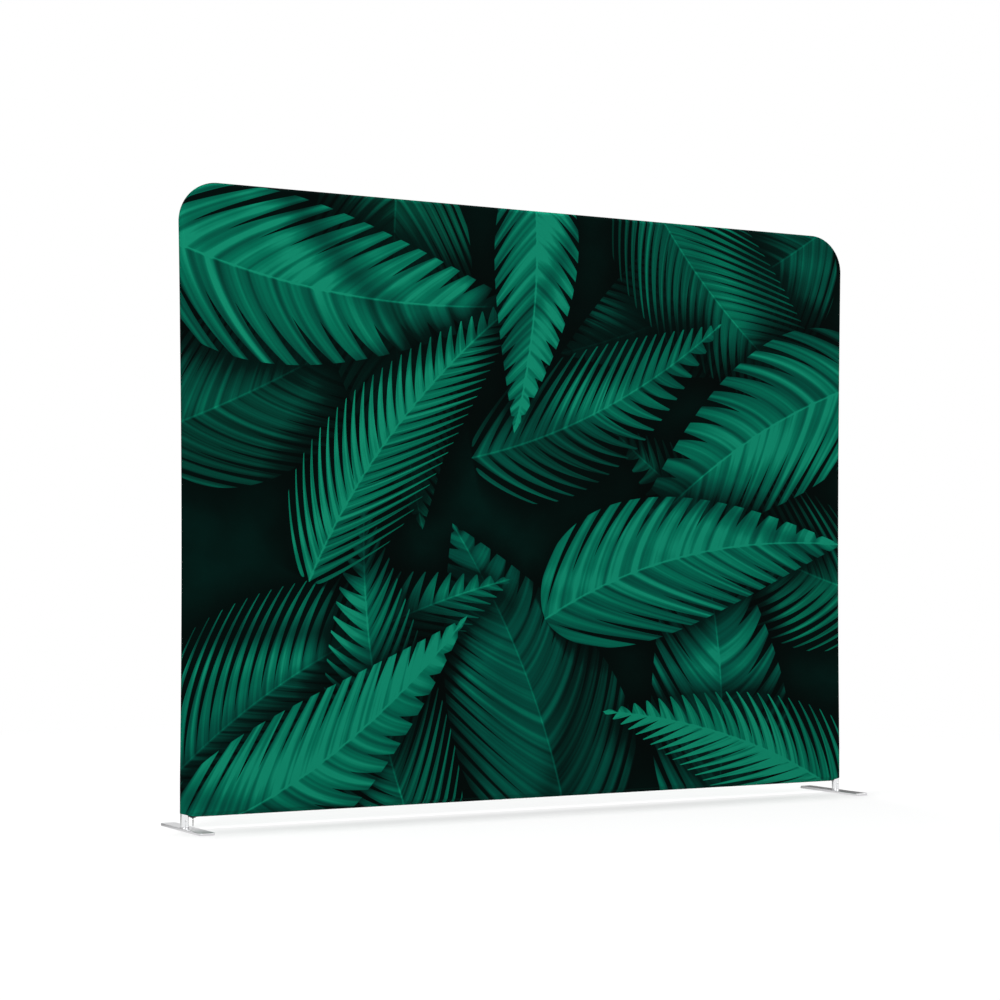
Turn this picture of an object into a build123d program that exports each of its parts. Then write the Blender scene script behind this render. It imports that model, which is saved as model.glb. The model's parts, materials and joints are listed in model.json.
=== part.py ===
import os
from math import asin, cos, pi, sin, sqrt

from build123d import *

os.makedirs("parts", exist_ok=True)

# Fabric room divider: a tube frame on two flat feet inside a zipped fabric cover.
# Millimetres. +X along the panel, the front face looks along -Y, +Z up, the floor is Z 0.

# Whole panel, measured over the fabric
panel_width = 2000.0
panel_height = 1575.0

# Round aluminium tube, the same for every rail
tube_r = 10.0
tube_wall = 1.5

# Fabric cover
fabric_t = 0.8
fabric_gap = 0.3

# Line of the side rails: a plumb leg, then one long bow drawn inwards by the stretched fabric
corner_r = 89.0
side_bow_r = 36000.0
waist_z = 670.0
leg_bend_r = 2500.0
leg_straight_top = 110.0
joint_low_z = 1080.0
joint_straight = 140.0

# Lower rail and the places of the tube joints
bottom_rail_z = 45.4
top_joint_x = 500.0
bottom_joint_x = 500.0
leg_gap = 0.3

# Inner sleeves that join two tubes
sleeve_half = 60.0
sleeve_wall = 1.6
slide_clearance = 0.1
stub_end = 80.0
stub_button_at = 48.0

# Snap button and its bent strip spring
button_r = 2.5
button_hole_clearance = 0.1
button_proud = 1.6
button_crown = 1.0
button_flange_r = 3.2
button_flange_t = 0.8
button_from_joint = 30.0
strip_w = 8.0
strip_t = 0.6
strip_leg = 28.0
strip_wall_gap = 0.02
strip_bend_r = 1.2

# Foot
plate_length = 265.0
plate_width = 40.0
plate_t = 6.0
plate_corner_r = 8.0
plate_edge = 0.8
plate_outboard = 2.6
spigot_collar_t = 2.0
spigot_length = 100.0
spigot_floor_t = 14.0
foot_button_z = 23.5
screw_r = 4.0
screw_head_r = 8.0
screw_head_t = 4.0
screw_length = 16.0
screw_clearance = 0.2
hex_across = 5.0
hex_depth = 3.0

# Centre pole
pole_plug_length = 25.0
pole_head_length = 14.0
pole_pin_r = 3.0
pole_pin_length = 5.0
pole_pin_clearance = 0.1

# Open lower edge of the cover and its zip
hem_z = 32.4
wrap_angle = 25.0
hem_flat_from = 4.8
hem_outer_z = 41.0
tape_t = 0.6
tape_outer = 6.0
tape_from_leg = 12.5
coil_outer = 2.9
coil_inner = 0.55
coil_t = 2.4
coil_from_tape_end = 3.0
slider_from_coil_end = 7.0
slider_length = 11.0
slider_half_w = 4.4
slider_plate_t = 1.0
slider_gap = 0.3
slider_post_length = 3.0
slider_post_half_w = 0.4
bridge_half_length = 3.0
bridge_w = 2.4
bridge_t = 1.0
bridge_gap = 2.0
pull_bar_r = 0.7
pull_drop = 1.2
pull_w = 7.0
pull_arm_w = 1.6
pull_window = 3.8
pull_length = 19.4
stop_length = 2.0
stop_margin = 0.2

# Distances that follow from the dimensions above
tube_in = tube_r - tube_wall
slide_r = tube_in - slide_clearance
bore_r = tube_in - sleeve_wall
cover_in = tube_r + fabric_gap
cover_out = cover_in + fabric_t
top_x = panel_width / 2 - cover_out
top_z = panel_height - cover_out
bend_z = top_z - corner_r
joint_lean = asin((joint_low_z - waist_z) / side_bow_r)
bow_shift = (joint_straight * sin(joint_lean), joint_straight * cos(joint_lean))
top_lean = asin((bend_z - waist_z - bow_shift[1]) / (side_bow_r + corner_r))
waist_x = top_x - corner_r - side_bow_r - bow_shift[0] + (side_bow_r + corner_r) * cos(top_lean)
leg_lean = asin((waist_z - leg_straight_top) / (side_bow_r + leg_bend_r))
leg_x = waist_x + (side_bow_r + leg_bend_r) * (1 - cos(leg_lean))
strip_half = strip_w / 2
flange_top = sqrt(bore_r**2 - button_flange_r**2) - 0.1
strip_top = flange_top - button_flange_t
strip_back = sqrt(bore_r**2 - strip_half**2) - strip_wall_gap
collar_top = plate_t + spigot_collar_t
tape_half_length = leg_x - tape_from_leg
coil_half_length = tape_half_length - coil_from_tape_end
slider_x = slider_from_coil_end - coil_half_length


def arc(centre, radius, start, end):
    """Arc in X and Z about a centre, between two angles from +X; a negative radius faces -X."""
    points = [
        (centre[0] + radius * cos(t), centre[1] + abs(radius) * sin(t))
        for t in (start, (start + end) / 2, end)
    ]
    return ThreePointArc(*points)


def bow_point(side, lean):
    """Point of the side bow where the rail leans by the given angle, below the joint."""
    return (side * (waist_x + side_bow_r * (1 - cos(lean))), waist_z + side_bow_r * sin(lean))


def rail_edges(side, foot_z):
    """One half of the frame line as edges in X and Z: the upright, then the corner tube."""
    low = bow_point(side, joint_lean)
    high = (low[0] + side * bow_shift[0], low[1] + bow_shift[1])
    middle = ((low[0] + high[0]) / 2, (low[1] + high[1]) / 2)
    bow_centre = side * (waist_x + side_bow_r)
    upright = [
        Line((side * leg_x, foot_z), (side * leg_x, leg_straight_top)),
        arc((side * (leg_x - leg_bend_r), leg_straight_top), side * leg_bend_r, 0, leg_lean),
        arc((bow_centre, waist_z), -side * side_bow_r, -leg_lean, joint_lean),
        Line(low, middle),
    ]
    upper_centre = (bow_centre + side * bow_shift[0], waist_z + bow_shift[1])
    bend_centre = (side * (top_x - corner_r), bend_z)
    corner = [
        Line(middle, high),
        arc(upper_centre, -side * side_bow_r, joint_lean, top_lean),
        arc(bend_centre, side * corner_r, -top_lean, pi / 2),
        Line((bend_centre[0], top_z), (side * top_joint_x, top_z)),
    ]
    return upright, corner, middle


def tube_along(edges):
    """Tube swept along edges given in X and Z."""
    path = Plane.XZ * Wire(edges)
    ring = Circle(tube_r) - Circle(tube_in)
    return sweep(Plane(origin=path @ 0, x_dir=(0, 1, 0), z_dir=path % 0) * ring, path=path)


def straight_tube(start, end):
    """Straight tube between two points."""
    axis = Vector(*end) - Vector(*start)
    plane = Plane(origin=start, z_dir=axis)
    return plane * extrude(Circle(tube_r) - Circle(tube_in), axis.length)


def rod(radius, low, high):
    """Cylinder along local X between two distances from the axis."""
    return Plane.YZ.offset(low) * extrude(Circle(radius), high - low)


def snap_button():
    """Stem, crown and inner flange, along local X; the spring runs off along local -Z."""
    crown = tube_r + button_proud
    stem = rod(button_r, strip_top, crown)
    stem = chamfer(stem.edges().sort_by(Axis.X)[-1], button_crown)
    return stem + rod(button_flange_r, strip_top, flange_top)


def strip_spring():
    """Flat strip bent into a V: one leg under the button, one on the far wall."""
    front = strip_top - strip_t / 2
    back = strip_t / 2 - strip_back
    line = FilletPolyline(
        (front, button_flange_r),
        (front, -button_flange_r),
        ((front + back) / 2, -strip_leg),
        (back, -button_flange_r),
        (back, button_flange_r),
        radius=strip_bend_r,
    )
    profile = make_face(offset(line, strip_t / 2, kind=Kind.INTERSECTION, side=Side.BOTH))
    return Plane.XZ * extrude(profile, strip_half, both=True)


def inner_sleeve():
    """Sleeve along local Z: pressed half below zero, sliding half above, button hole on local +X."""
    body = extrude(Circle(tube_in), -sleeve_half) + extrude(Circle(slide_r), sleeve_half)
    body -= Cylinder(bore_r, 4 * sleeve_half)
    return body - Pos(Z=button_from_joint) * rod(button_r + button_hole_clearance, 0, tube_r)


nodes = {}


def join(name, at, free):
    """Sleeve, spring and button of one joint; drills the tube that slides on and files the pieces."""
    at = at * Pos(Z=button_from_joint)
    nodes[free] -= at * rod(button_r + button_hole_clearance, 0, tube_r + 1)
    nodes[name + "_sleeve"] = at * Pos(Z=-button_from_joint) * inner_sleeve()
    nodes[name + "_spring"] = at * strip_spring()
    nodes[name + "_button"] = at * snap_button()


def both_sides(name, right):
    """Files a right-hand piece and its mirror image."""
    nodes[name + "_right"] = right
    nodes[name + "_left"] = mirror(right, about=Plane.YZ)


# Frame tubes
upright_line, corner_line, side_joint = rail_edges(1, collar_top)
upright = tube_along(upright_line)
corner = tube_along(corner_line)
nodes["top_tube"] = straight_tube((-top_joint_x, 0, top_z), (top_joint_x, 0, top_z))
nodes["bottom_tube_centre"] = straight_tube(
    (-bottom_joint_x, 0, bottom_rail_z), (bottom_joint_x, 0, bottom_rail_z)
)
rail_end = leg_x - tube_r - leg_gap
bottom_side = straight_tube((bottom_joint_x, 0, bottom_rail_z), (rail_end, 0, bottom_rail_z))

# Foot button hole, and the stub that carries the lower rail
foot_snap = Plane(origin=(leg_x, 0, foot_button_z), x_dir=(0, -1, 0), z_dir=(0, 0, -1))
stub_frame = Plane(origin=(leg_x, 0, bottom_rail_z), x_dir=(0, 0, 1), z_dir=(-1, 0, 0))
stub_snap = Plane(
    origin=(leg_x - stub_button_at, 0, bottom_rail_z), x_dir=(0, 0, 1), z_dir=(-1, 0, 0)
)
snap_hole = rod(button_r + button_hole_clearance, 0, tube_r + 1)
upright -= foot_snap.location * snap_hole
bottom_side -= stub_snap.location * snap_hole
stub = extrude(Circle(slide_r), stub_end)
stub -= extrude(Circle(bore_r), stub_end)
stub = stub_frame.location * stub
stub -= Pos(leg_x, 0, bottom_rail_z) * Cylinder(tube_r, 4 * tube_r)
stub -= stub_snap.location * snap_hole

both_sides("upright_tube", upright)
both_sides("corner_tube", corner)
both_sides("bottom_tube", bottom_side)
both_sides("bottom_stub", stub)
both_sides("stub_spring", stub_snap.location * strip_spring())
both_sides("stub_button", stub_snap.location * snap_button())

# Feet
plate = extrude(RectangleRounded(plate_width, plate_length, plate_corner_r), plate_t)
plate = chamfer(plate.edges().group_by(Axis.Z)[-1], plate_edge)
plate = Pos(leg_x + tube_r + plate_outboard - plate_width / 2) * plate
hole_r = screw_r + screw_clearance
head_r = screw_head_r + screw_clearance
plate -= Pos(leg_x) * extrude(Circle(hole_r), plate_t)
plate -= Pos(leg_x, 0, (head_r - hole_r) / 2) * Cone(head_r, hole_r, head_r - hole_r)
spigot = extrude(Circle(tube_r), spigot_collar_t) + extrude(
    Circle(slide_r), spigot_collar_t + spigot_length
)
spigot -= Pos(Z=spigot_floor_t) * extrude(Circle(bore_r), spigot_length)
spigot -= extrude(Circle(screw_r), spigot_floor_t)
spigot = Pos(leg_x, 0, plate_t) * spigot - foot_snap.location * snap_hole
screw = Pos(Z=screw_head_t / 2) * Cone(screw_head_r, screw_r, screw_head_t)
screw += extrude(Circle(screw_r), screw_length)
screw -= extrude(RegularPolygon(hex_across / sqrt(3), 6), hex_depth)
screw = Pos(leg_x, 0, screw_clearance) * screw

both_sides("foot_plate", plate)
both_sides("foot_spigot", spigot)
nodes["foot_screws"] = Compound(children=[screw, mirror(screw, about=Plane.YZ)])
both_sides("foot_spring", foot_snap.location * strip_spring())
both_sides("foot_button", foot_snap.location * snap_button())

# Centre pole between the two rails, with a saddle and a pin at each end
pole_low = bottom_rail_z + pole_head_length
pole_high = top_z - pole_head_length
pole_mid = (pole_low + pole_high) / 2
nodes["pole_tube_lower"] = straight_tube((0, 0, pole_low), (0, 0, pole_mid))
nodes["pole_tube_upper"] = straight_tube((0, 0, pole_mid), (0, 0, pole_high))
saddle = extrude(Circle(tube_r), pole_head_length) - Rot(Y=90) * Cylinder(tube_r, 4 * tube_r)
plug = Pos(Z=pole_head_length) * extrude(Circle(tube_in), pole_plug_length)
pin = Pos(Z=tube_r - pole_pin_length) * extrude(Circle(pole_pin_r), pole_pin_length)
pole_end = saddle + plug + pin
pin_hole = Cylinder(pole_pin_r + pole_pin_clearance, 2 * tube_r)
nodes["pole_end_bottom"] = Pos(Z=bottom_rail_z) * pole_end
nodes["pole_end_top"] = Pos(Z=top_z) * Rot(X=180) * pole_end
nodes["bottom_tube_centre"] -= Pos(Z=bottom_rail_z + tube_r) * pin_hole
nodes["top_tube"] -= Pos(Z=top_z - tube_r) * pin_hole

# Tube joints: each sleeve is pressed into one tube, and the other slides onto it
for side, sign in (("right", 1), ("left", -1)):
    up = (sign * sin(joint_lean), 0, cos(joint_lean))
    at = Plane(origin=(sign * side_joint[0], 0, side_joint[1]), x_dir=(-sign, 0, 0), z_dir=up)
    join("side_joint_" + side, at.location, "corner_tube_" + side)
    at = Plane(origin=(sign * top_joint_x, 0, top_z), x_dir=(0, 0, -1), z_dir=(-sign, 0, 0))
    join("top_joint_" + side, at.location, "top_tube")
    at = Plane(
        origin=(sign * bottom_joint_x, 0, bottom_rail_z), x_dir=(0, 0, 1), z_dir=(-sign, 0, 0)
    )
    join("bottom_joint_" + side, at.location, "bottom_tube_centre")
at = Plane(origin=(0, 0, pole_mid), x_dir=(1, 0, 0), z_dir=(0, 0, 1))
join("pole_joint", at.location, "pole_tube_upper")

# Fabric cover: a flat sheet, a quarter round over the side and top rails, and the lower wrap
right_upright, right_corner, _ = rail_edges(1, hem_outer_z)
left_upright, left_corner, _ = rail_edges(-1, hem_outer_z)
span = Line((top_joint_x, top_z), (-top_joint_x, top_z))
rim_line = right_upright + right_corner + [span] + (left_upright + left_corner)[::-1]
quarter = (Circle(cover_out) - Circle(cover_in)) & Pos(cover_out / 2, -cover_out / 2) * Rectangle(
    cover_out, cover_out
)
rim = sweep(Pos(leg_x, 0, hem_outer_z) * quarter, path=Plane.XZ * Wire(rim_line))
lower_line = Line((-leg_x, hem_outer_z), (leg_x, hem_outer_z))
inside = Plane.XZ * make_face(rim_line + [lower_line])
sheet = Pos(Y=-cover_in) * extrude(inside, fabric_t, dir=(0, -1, 0))
sheet -= Pos(Z=bottom_rail_z / 2) * Box(3 * leg_x, 4 * cover_out, bottom_rail_z)

a = wrap_angle * pi / 180
drop = bottom_rail_z - hem_z


def wrap_line(r, level):
    """Section in Y and Z below the lower rail: arc of radius r, slant, then level to the zip."""
    t = (level - r * sin(a)) / cos(a)
    bend = (-r * cos(a), -r * sin(a))
    foot = (bend[0] + t * sin(a), -level)
    arc = ThreePointArc((-r, 0), (-r * cos(a / 2), -r * sin(a / 2)), bend)
    return [arc, Line(bend, foot), Line(foot, (-hem_flat_from, -level))]


outer = wrap_line(cover_out, drop)
inner = wrap_line(cover_in, drop - fabric_t)
closing = [
    Line((-cover_out, 0), (-cover_in, 0)),
    Line((-hem_flat_from, -drop), (-hem_flat_from, fabric_t - drop)),
]
section = make_face(outer + inner + closing)
wrap = Pos(Z=bottom_rail_z) * (Plane.YZ * extrude(section, leg_x, both=True))
cover = rim + sheet + wrap
for sign in (1, -1):
    cover -= Pos(sign * leg_x, 0, 0) * Cylinder(cover_in, 4 * bottom_rail_z)
nodes["cover_front"] = cover
nodes["cover_back"] = mirror(cover, about=Plane.XZ)

# Zip along the lower edge
tape_z = hem_z - tape_t
mid_z = hem_z - tape_t / 2
tape = Pos(0, -(tape_outer + coil_outer) / 2, mid_z) * Box(
    2 * tape_half_length, tape_outer - coil_outer, tape_t
)
coil = Pos(0, -(coil_outer + coil_inner) / 2, mid_z) * Box(
    2 * coil_half_length, coil_outer - coil_inner, coil_t
)
nodes["zip_tape_front"] = tape
nodes["zip_tape_back"] = mirror(tape, about=Plane.XZ)
nodes["zip_coil_front"] = coil
nodes["zip_coil_back"] = mirror(coil, about=Plane.XZ)

channel_half_h = coil_t / 2 + slider_gap
slider_half_h = channel_half_h + slider_plate_t
slider = Box(slider_length, 2 * slider_half_w, 2 * slider_half_h)
slider = fillet(slider.edges().filter_by(Axis.Z), 1.5)
slider -= Box(2 * slider_length, 2 * (coil_outer + slider_gap), 2 * channel_half_h)
slider -= Box(2 * slider_length, 4 * slider_half_w, tape_t + 2 * slider_gap)
post = Pos((slider_post_length - slider_length) / 2 + 1) * Box(
    slider_post_length, 2 * slider_post_half_w, 2 * channel_half_h
)
bridge_h = bridge_gap + bridge_t
bridge = Pos(0, 0, -slider_half_h - bridge_h / 2) * Box(2 * bridge_half_length, bridge_w, bridge_h)
bridge -= Pos(0, 0, -slider_half_h - bridge_gap / 2) * Box(
    2 * (bridge_half_length - bridge_t), bridge_w, bridge_gap
)
nodes["zip_slider"] = Pos(slider_x, 0, mid_z) * (slider + post + bridge)

pull_axis_z = mid_z - slider_half_h - pull_drop
blade = Pos(0, 0, -pull_length / 2) * Box(2 * pull_bar_r, pull_w, pull_length)
blade = fillet(blade.edges().filter_by(Axis.X).group_by(Axis.Z)[0], 2.0)
blade -= Pos(0, 0, -pull_window / 2) * Box(pull_w, pull_w - 2 * pull_arm_w, pull_window)
pull = blade + Rot(X=90) * Cylinder(pull_bar_r, pull_w)
nodes["zip_pull"] = Pos(slider_x, 0, pull_axis_z) * pull

stop_x = coil_half_length + stop_length / 2
stop_h = coil_t + 2 * stop_margin
end_stop = Pos(-stop_x, -(coil_outer + coil_inner) / 2, mid_z) * Box(
    stop_length, coil_outer - coil_inner, stop_h
)
box_stop = Pos(stop_x, 0, mid_z) * Box(stop_length, 2 * coil_outer, stop_h)
nodes["zip_stops"] = Compound(children=[end_stop, mirror(end_stop, about=Plane.XZ), box_stop])

for name, shape in nodes.items():
    export_step(shape, f"parts/{name}.step")
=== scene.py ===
import json
from functools import partial
from math import asin, cos, pi, radians, sin

import bmesh
import bpy
import numpy as np
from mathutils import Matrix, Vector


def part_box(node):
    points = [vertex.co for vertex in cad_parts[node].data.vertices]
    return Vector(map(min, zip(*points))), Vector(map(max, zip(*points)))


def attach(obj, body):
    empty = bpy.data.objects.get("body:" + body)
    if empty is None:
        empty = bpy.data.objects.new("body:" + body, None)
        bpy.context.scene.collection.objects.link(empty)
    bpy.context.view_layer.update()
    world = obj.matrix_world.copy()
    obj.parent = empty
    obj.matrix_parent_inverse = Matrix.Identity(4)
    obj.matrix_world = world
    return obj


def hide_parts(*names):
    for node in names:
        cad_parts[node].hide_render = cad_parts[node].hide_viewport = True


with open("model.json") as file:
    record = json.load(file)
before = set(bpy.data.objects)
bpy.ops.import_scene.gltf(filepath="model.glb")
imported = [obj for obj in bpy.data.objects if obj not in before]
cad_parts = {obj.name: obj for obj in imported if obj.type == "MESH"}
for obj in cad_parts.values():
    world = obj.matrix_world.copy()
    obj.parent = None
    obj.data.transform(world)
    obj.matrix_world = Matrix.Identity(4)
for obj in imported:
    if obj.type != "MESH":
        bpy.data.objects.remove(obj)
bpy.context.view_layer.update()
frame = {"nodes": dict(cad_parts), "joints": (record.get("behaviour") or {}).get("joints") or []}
scene = bpy.context.scene
scene.view_settings.view_transform = "Standard"

# Camera at the photograph's viewpoint: level, low, from the front left, with the horizon
# a little below the middle of the picture.
camera = bpy.data.objects.new("camera", bpy.data.cameras.new("camera"))
scene.collection.objects.link(camera)
scene.camera = camera
camera.location = (-3.0037, -5.1654, 0.6330)
camera.rotation_euler = (radians(90), 0, radians(-29.264))
camera.data.lens = 81.65
camera.data.sensor_width = 36
camera.data.shift_y = 0.069
camera.data.clip_end = 200


# World: a plain white studio. Camera, mirror and glass rays see white, and the object is
# lit by a dimmer part of it.
def by_ray(tree, otherwise, cases):
    """Shader output that differs by the kind of ray: each case names a ray and the node that
    it sees, and all other rays see the node called otherwise."""
    path = tree.nodes.new("ShaderNodeLightPath")
    shown = otherwise.outputs[0]
    for ray, seen in cases:
        choice = tree.nodes.new("ShaderNodeMixShader")
        tree.links.new(path.outputs[ray], choice.inputs["Fac"])
        tree.links.new(shown, choice.inputs[1])
        tree.links.new(seen.outputs[0], choice.inputs[2])
        shown = choice.outputs[0]
    return shown


world = bpy.data.worlds.new("studio")
scene.world = world
world.use_nodes = True
tree = world.node_tree
tree.nodes.clear()
white = tree.nodes.new("ShaderNodeBackground")
white.inputs["Color"].default_value = (1, 1, 1, 1)
white.inputs["Strength"].default_value = 1.0
ambient = tree.nodes.new("ShaderNodeBackground")
ambient.inputs["Color"].default_value = (1, 1, 1, 1)
ambient.inputs["Strength"].default_value = 0.45
out = tree.nodes.new("ShaderNodeOutputWorld")
shown = by_ray(tree, ambient, (("Is Camera Ray", white), ("Is Glossy Ray", white),
                               ("Is Transmission Ray", white)))
tree.links.new(shown, out.inputs["Surface"])


# Lamps: a large key from the front left, a weaker fill from the front right and one behind,
# and a narrow strip high above the panel, a little to the rear, that leaves the soft band of
# shadow along its foot.
def area_lamp(name, place, aim, size, watts):
    """Rectangular lamp at a place, turned so that its light falls along the line to aim."""
    lamp = bpy.data.lights.new(name, "AREA")
    lamp.shape = "RECTANGLE"
    lamp.size, lamp.size_y = size
    lamp.energy = watts
    holder = bpy.data.objects.new(name, lamp)
    holder.location = place
    line = np.array(aim, float) - np.array(place, float)
    line /= np.linalg.norm(line)
    holder.rotation_euler = (np.arccos(-line[2]), 0, np.arctan2(line[0], -line[1]) + pi)
    scene.collection.objects.link(holder)
    return holder


area_lamp("key", (-4.2, -5.0, 3.6), (0, 0, 0.8), (2.5, 2.5), 330)
area_lamp("fill", (4.5, -4.5, 2.6), (0, 0, 0.8), (3.0, 3.0), 120)
for lamp in (area_lamp("rear", (0.5, 5.5, 3.2), (0, 0, 0.8), (4.0, 3.0), 260),
             area_lamp("overhead", (0, 0.22, 4.2), (0, 0.22, 0), (4.0, 0.22), 105)):
    lamp.visible_glossy = False

# Floor: a wide pale sheet. Its light is topped up to white for the camera, so that only the
# object's shadow shows on it, and far from the object it is plain white. In shiny surfaces
# it is bright in front of the object and grey behind it, which outlines the round legs.
floor_gap, floor_radius = 0.0005, 60.0
reach = np.concatenate([[0.001], np.geomspace(0.5, floor_radius, 24)])
turn = np.linspace(0, 2 * pi, 64, endpoint=False)
grid = np.zeros((len(reach), len(turn), 3))
grid[:, :, 0] = reach[:, None] * np.cos(turn)
grid[:, :, 1] = reach[:, None] * np.sin(turn)
grid[:, :, 2] = -floor_gap
index = np.arange(grid[:, :, 0].size).reshape(grid.shape[:2])
index = np.concatenate([index, index[:, :1]], axis=1)
quads = np.stack([index[:-1, :-1], index[1:, :-1], index[1:, 1:], index[:-1, 1:]], axis=-1)
mesh = bpy.data.meshes.new("floor")
mesh.from_pydata(grid.reshape(-1, 3).tolist(), [], quads.reshape(-1, 4).tolist())
floor = bpy.data.objects.new("floor", mesh)
scene.collection.objects.link(floor)
material = bpy.data.materials.new("floor")
material.use_nodes = True
tree = material.node_tree
tree.nodes.clear()
place = tree.nodes.new("ShaderNodeTexCoord")
reach = tree.nodes.new("ShaderNodeVectorMath")
reach.operation = "LENGTH"
tree.links.new(place.outputs["Object"], reach.inputs[0])
away = tree.nodes.new("ShaderNodeMapRange")
away.interpolation_type = "SMOOTHSTEP"
away.inputs["From Min"].default_value = 1.6
away.inputs["From Max"].default_value = 3.4
tree.links.new(reach.outputs["Value"], away.inputs["Value"])
lit = tree.nodes.new("ShaderNodeBsdfDiffuse")
lit.inputs["Color"].default_value = (0.4, 0.4, 0.4, 1)
top_up = tree.nodes.new("ShaderNodeEmission")
top_up.inputs["Strength"].default_value = 0.5
both = tree.nodes.new("ShaderNodeAddShader")
tree.links.new(lit.outputs[0], both.inputs[0])
tree.links.new(top_up.outputs[0], both.inputs[1])
plain = tree.nodes.new("ShaderNodeEmission")
plain.inputs["Strength"].default_value = 1.0
faded = tree.nodes.new("ShaderNodeMixShader")
tree.links.new(away.outputs["Result"], faded.inputs["Fac"])
tree.links.new(both.outputs[0], faded.inputs[1])
tree.links.new(plain.outputs[0], faded.inputs[2])
depth = tree.nodes.new("ShaderNodeSeparateXYZ")
tree.links.new(place.outputs["Object"], depth.inputs[0])
behind = tree.nodes.new("ShaderNodeMapRange")
behind.interpolation_type = "SMOOTHSTEP"
for name, number in (("From Min", -0.05), ("From Max", 0.30), ("To Min", 0.95),
                     ("To Max", 0.16)):
    behind.inputs[name].default_value = number
tree.links.new(depth.outputs["Y"], behind.inputs["Value"])
mirrored = tree.nodes.new("ShaderNodeEmission")
tree.links.new(behind.outputs["Result"], mirrored.inputs["Strength"])
out = tree.nodes.new("ShaderNodeOutputMaterial")
shown = by_ray(tree, lit, (("Is Camera Ray", faded), ("Is Transmission Ray", faded),
                           ("Is Glossy Ray", mirrored)))
tree.links.new(shown, out.inputs["Surface"])
mesh.materials.append(material)

# Flags behind the object, out of the camera's sight, from dark at the sides to pale grey in
# the middle. Only shiny surfaces see them, which tones the bright legs and foot plates.
flag_distance, flag_foot, flag_top, flag_steps = 9, 0.02, 5.0, 20
for name, first, last, strength in (("flag_left", -28, 4, 0.15), ("flag_near", 4, 29, 0.86),
                                    ("flag_far", 29, 50, 0.14), ("flag_right", 50, 88, 0.10)):
    bearing = np.radians(np.linspace(first, last, flag_steps))
    foot = flag_distance * np.stack([np.sin(bearing), np.cos(bearing), 0 * bearing], axis=1)
    points = np.concatenate([foot + (0, 0, flag_foot), foot + (0, 0, flag_top)])
    k = np.arange(flag_steps - 1)
    quads = np.stack([k, k + 1, k + 1 + flag_steps, k + flag_steps], axis=1)
    mesh = bpy.data.meshes.new(name)
    mesh.from_pydata(points.tolist(), [], quads.tolist())
    flag = bpy.data.objects.new(name, mesh)
    scene.collection.objects.link(flag)
    material = bpy.data.materials.new(name)
    material.use_nodes = True
    tree = material.node_tree
    tree.nodes.clear()
    glow = tree.nodes.new("ShaderNodeEmission")
    glow.inputs["Strength"].default_value = strength
    out = tree.nodes.new("ShaderNodeOutputMaterial")
    tree.links.new(glow.outputs[0], out.inputs["Surface"])
    mesh.materials.append(material)
    flag.visible_camera = flag.visible_diffuse = flag.visible_shadow = False
    flag.visible_transmission = flag.visible_volume_scatter = False

# Fabric cover: two printed panels of stretch knit, sewn edge to edge along the middle of the
# side and top rails and pulled tight over the frame like a sock. Each turns under the lower
# rail to the zip, and its corners are cut away round the legs.
leg_x, waist_x, top_x = 0.985253, 0.981180, 0.988900
rail_z, leg_top, waist_z, joint_low_z, corner_z = 0.0454, 0.110, 0.670, 1.080, 1.4749
leg_bend_r, bow_r, corner_r = 2.5, 36.0, 0.089
joint_straight = 0.140
cloth_out = 0.0111
leg_lean = asin((waist_z - leg_top) / (bow_r + leg_bend_r))
joint_lean = asin((joint_low_z - waist_z) / bow_r)
shift = joint_straight * sin(joint_lean), joint_straight * cos(joint_lean)
top_lean = asin((corner_z - waist_z - shift[1]) / (bow_r + corner_r))


def rail_rows():
    """Right side rail from the lower rail up to the top rail: place and outward normal in X and
    Z. A plumb leg, a bend inwards, the long bow with a straight stretch at its joint, and the
    corner's quarter circle; along an arc, centre + radius (cos t, sin t)."""
    def stretch(x, z, lean):
        return np.stack(np.broadcast_arrays(x, z, np.cos(lean), np.sin(lean)), axis=1)

    leg = stretch(leg_x, np.linspace(rail_z, leg_top, 4), 0.0)
    t = np.linspace(0, leg_lean, 3)[1:]
    bend = stretch(leg_x - leg_bend_r * (1 - np.cos(t)), leg_top + leg_bend_r * np.sin(t), t)
    t = np.linspace(-leg_lean, joint_lean, 48)[1:]
    bow = stretch(waist_x + bow_r * (1 - np.cos(t)), waist_z + bow_r * np.sin(t), -t)
    share = np.linspace(0, 1, 8)[1:]
    joint = stretch(bow[-1, 0] + share * shift[0], bow[-1, 1] + share * shift[1], -joint_lean)
    t = np.linspace(joint_lean, top_lean, 13)[1:]
    upper = stretch(waist_x + bow_r * (1 - np.cos(t)) + shift[0],
                    waist_z + bow_r * np.sin(t) + shift[1], -t)
    t = np.linspace(-top_lean, pi / 2, 26)[1:]
    corner = stretch(top_x - corner_r * (1 - np.cos(t)), corner_z + corner_r * np.sin(t), t)
    return np.concatenate([leg, bend, bow, joint, upper, corner])


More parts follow.
